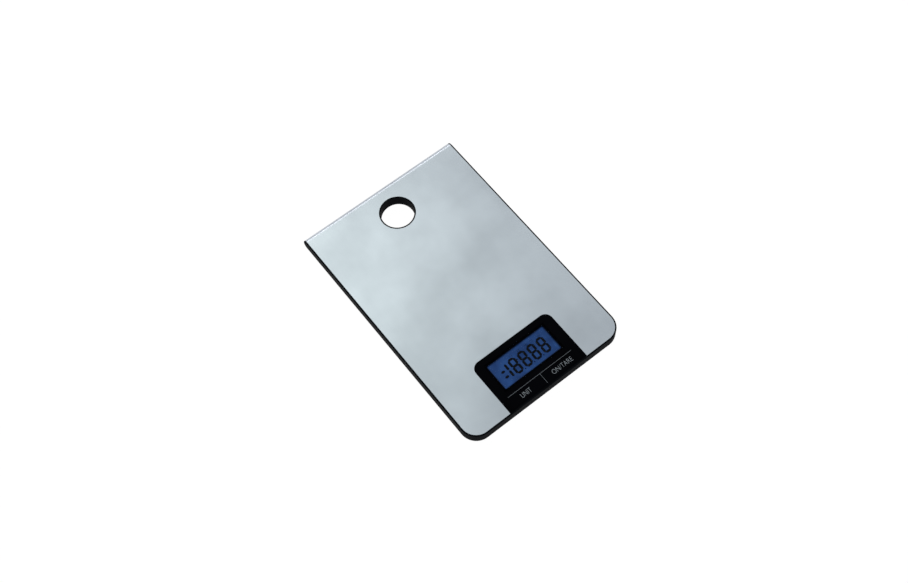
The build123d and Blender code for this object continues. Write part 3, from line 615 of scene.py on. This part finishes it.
def digitBars(left, segments):
    # the chosen bars of one seven-bar digit, named a to g from its far end round to the middle
    width, height, bar = screen["digitWidth"], screen["digitHeight"], screen["barWidth"]
    near = screen["digitFront"]
    span, rise = width - bar - 2 * screen["gap"], height / 2 - bar / 2 - 2 * screen["gap"]
    middle, right = left + width / 2, left + width
    low, high = near + height / 4 + bar / 4, near + height * 3 / 4 - bar / 4
    places = {
        "a": (middle, near + height - bar / 2, span, False),
        "b": (right - bar / 2, high, rise, True),
        "c": (right - bar / 2, low, rise, True),
        "d": (middle, near + bar / 2, span, False),
        "e": (left + bar / 2, low, rise, True),
        "f": (left + bar / 2, high, rise, True),
        "g": (middle, near + height / 2, span, False),
    }
    return [segmentBar(*places[name]) for name in segments]


def screenDot(x, y):
    half = screen["dotSize"] / 2
    return flatBar("screenDot", screenLow.x + (x - half) * mm, screenLow.x + (x + half) * mm,
                   screenLow.y + (y - half) * mm, screenLow.y + (y + half) * mm,
                   screenHigh.z, screen["thickness"] * mm)


segments = []
for left in screen["digitLefts"]:
    segments += digitBars(left, "abcdefg")
segments += digitBars(screen["oneMiddle"] - screen["digitWidth"] + screen["barWidth"] / 2, "bc")
for left, right, middle in screen["dashes"]:
    segments.append(segmentBar((left + right) / 2, middle, right - left, False))
segments += [screenDot(x, y) for x, y in screen["dots"]]
for word, x in screen["units"]:
    segments.append(flatWord("unitMark", word, screenLow.x + x * mm,
                             screenLow.y + screen["unitMiddle"] * mm, screenHigh.z,
                             screen["unitWidth"] * mm, screen["unitHeight"] * mm,
                             screen["thickness"] * mm))
finishPiece(joinAs("displaySegments", segments), "segmentInk", "scale_body")
print("segments placed")

# Foot pads with round tread grooves, and the raised arrow on the battery door

tread = {
    "grooves": [2.0 * mm, 3.7 * mm, 5.4 * mm],    # radii of the round grooves
    "grooveHalf": 0.35 * mm,
    "cutterDrop": 0.06 * mm,             # keeps the cutter's middle off the pad's face
    "weld": 0.004 * mm,                  # closes the slivers that the cutting leaves
    "edge": 0.3 * mm,
    "edgeSteps": 3,
    "sides": 96,
    "grooveSides": 12,
    "smoothAngle": 30,                   # degrees
}


def treadPad(corner):
    # a rubber disc the size of its CAD node, cut by round grooves from below
    low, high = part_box("foot_pad_" + corner)
    middle = (low + high) / 2
    bpy.ops.mesh.primitive_cylinder_add(vertices=tread["sides"], radius=(high.x - low.x) / 2,
                                        depth=high.z - low.z, location=middle)
    pad = bpy.context.object
    pad.name = "treadPad_" + corner
    settle()
    rounding = pad.modifiers.new("rounding", "BEVEL")
    rounding.width = tread["edge"]
    rounding.segments = tread["edgeSteps"]
    applyModifiers(pad)
    for radius in tread["grooves"]:
        bpy.ops.mesh.primitive_torus_add(major_radius=radius, minor_radius=tread["grooveHalf"],
                                         major_segments=tread["sides"],
                                         minor_segments=tread["grooveSides"],
                                         location=(middle.x, middle.y, low.z - tread["cutterDrop"]))
        cutter = bpy.context.object
        settle()
        groove = pad.modifiers.new("groove", "BOOLEAN")
        groove.operation = "DIFFERENCE"
        groove.object = cutter
        applyModifiers(pad)
        bpy.data.objects.remove(cutter, do_unlink=True)
    selectOnly(pad)
    bpy.ops.object.mode_set(mode="EDIT")
    bpy.ops.mesh.select_all(action="SELECT")
    bpy.ops.mesh.remove_doubles(threshold=tread["weld"])
    bpy.ops.mesh.dissolve_degenerate(threshold=tread["weld"])
    bpy.ops.mesh.quads_convert_to_tris()
    bpy.ops.object.mode_set(mode="OBJECT")
    bpy.ops.object.shade_smooth_by_angle(angle=math.radians(tread["smoothAngle"]))
    return pad


for corner in corners:
    pad = treadPad(corner)
    finishPiece(pad, "footRubber", "foot_" + corner)
    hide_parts("foot_pad_" + corner)

# the arrow points at the latch; its root is sunk a little into the door
doorMark = {
    "headRadius": 3.0 * mm,
    "shaftWidth": 1.8 * mm,
    "shaftLength": 4.0 * mm,
    "height": 0.15 * mm,
    "sink": 0.05 * mm,
    "edge": 0.05 * mm,
    "edgeSteps": 2,
    "headSides": 3,
}
doorLow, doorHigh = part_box("battery_door")
arrowPlace = Vector(((doorLow.x + doorHigh.x) / 2, (doorLow.y + doorHigh.y) / 2,
                     doorLow.z + (doorMark["sink"] - doorMark["height"]) / 2))
arrowDepth = doorMark["height"] + doorMark["sink"]
bpy.ops.mesh.primitive_cylinder_add(vertices=doorMark["headSides"], radius=doorMark["headRadius"],
                                    depth=arrowDepth, location=arrowPlace, rotation=(0, 0, math.pi))
doorArrow = bpy.context.object
doorArrow.name = "doorArrow"
settle()
bpy.ops.mesh.primitive_cube_add(size=1, location=arrowPlace + Vector((0, doorMark["shaftLength"] / 2, 0)))
arrowShaft = bpy.context.object
arrowShaft.scale = (doorMark["shaftWidth"], doorMark["shaftLength"], arrowDepth)
settle()
shaftUnion = doorArrow.modifiers.new("shaftUnion", "BOOLEAN")
shaftUnion.operation = "UNION"
shaftUnion.object = arrowShaft
arrowEdge = doorArrow.modifiers.new("arrowEdge", "BEVEL")
arrowEdge.width = doorMark["edge"]
arrowEdge.segments = doorMark["edgeSteps"]
applyModifiers(doorArrow)
bpy.data.objects.remove(arrowShaft, do_unlink=True)
finishPiece(doorArrow, "mouldedAbs", "battery_door")
print("treads and door arrow made")
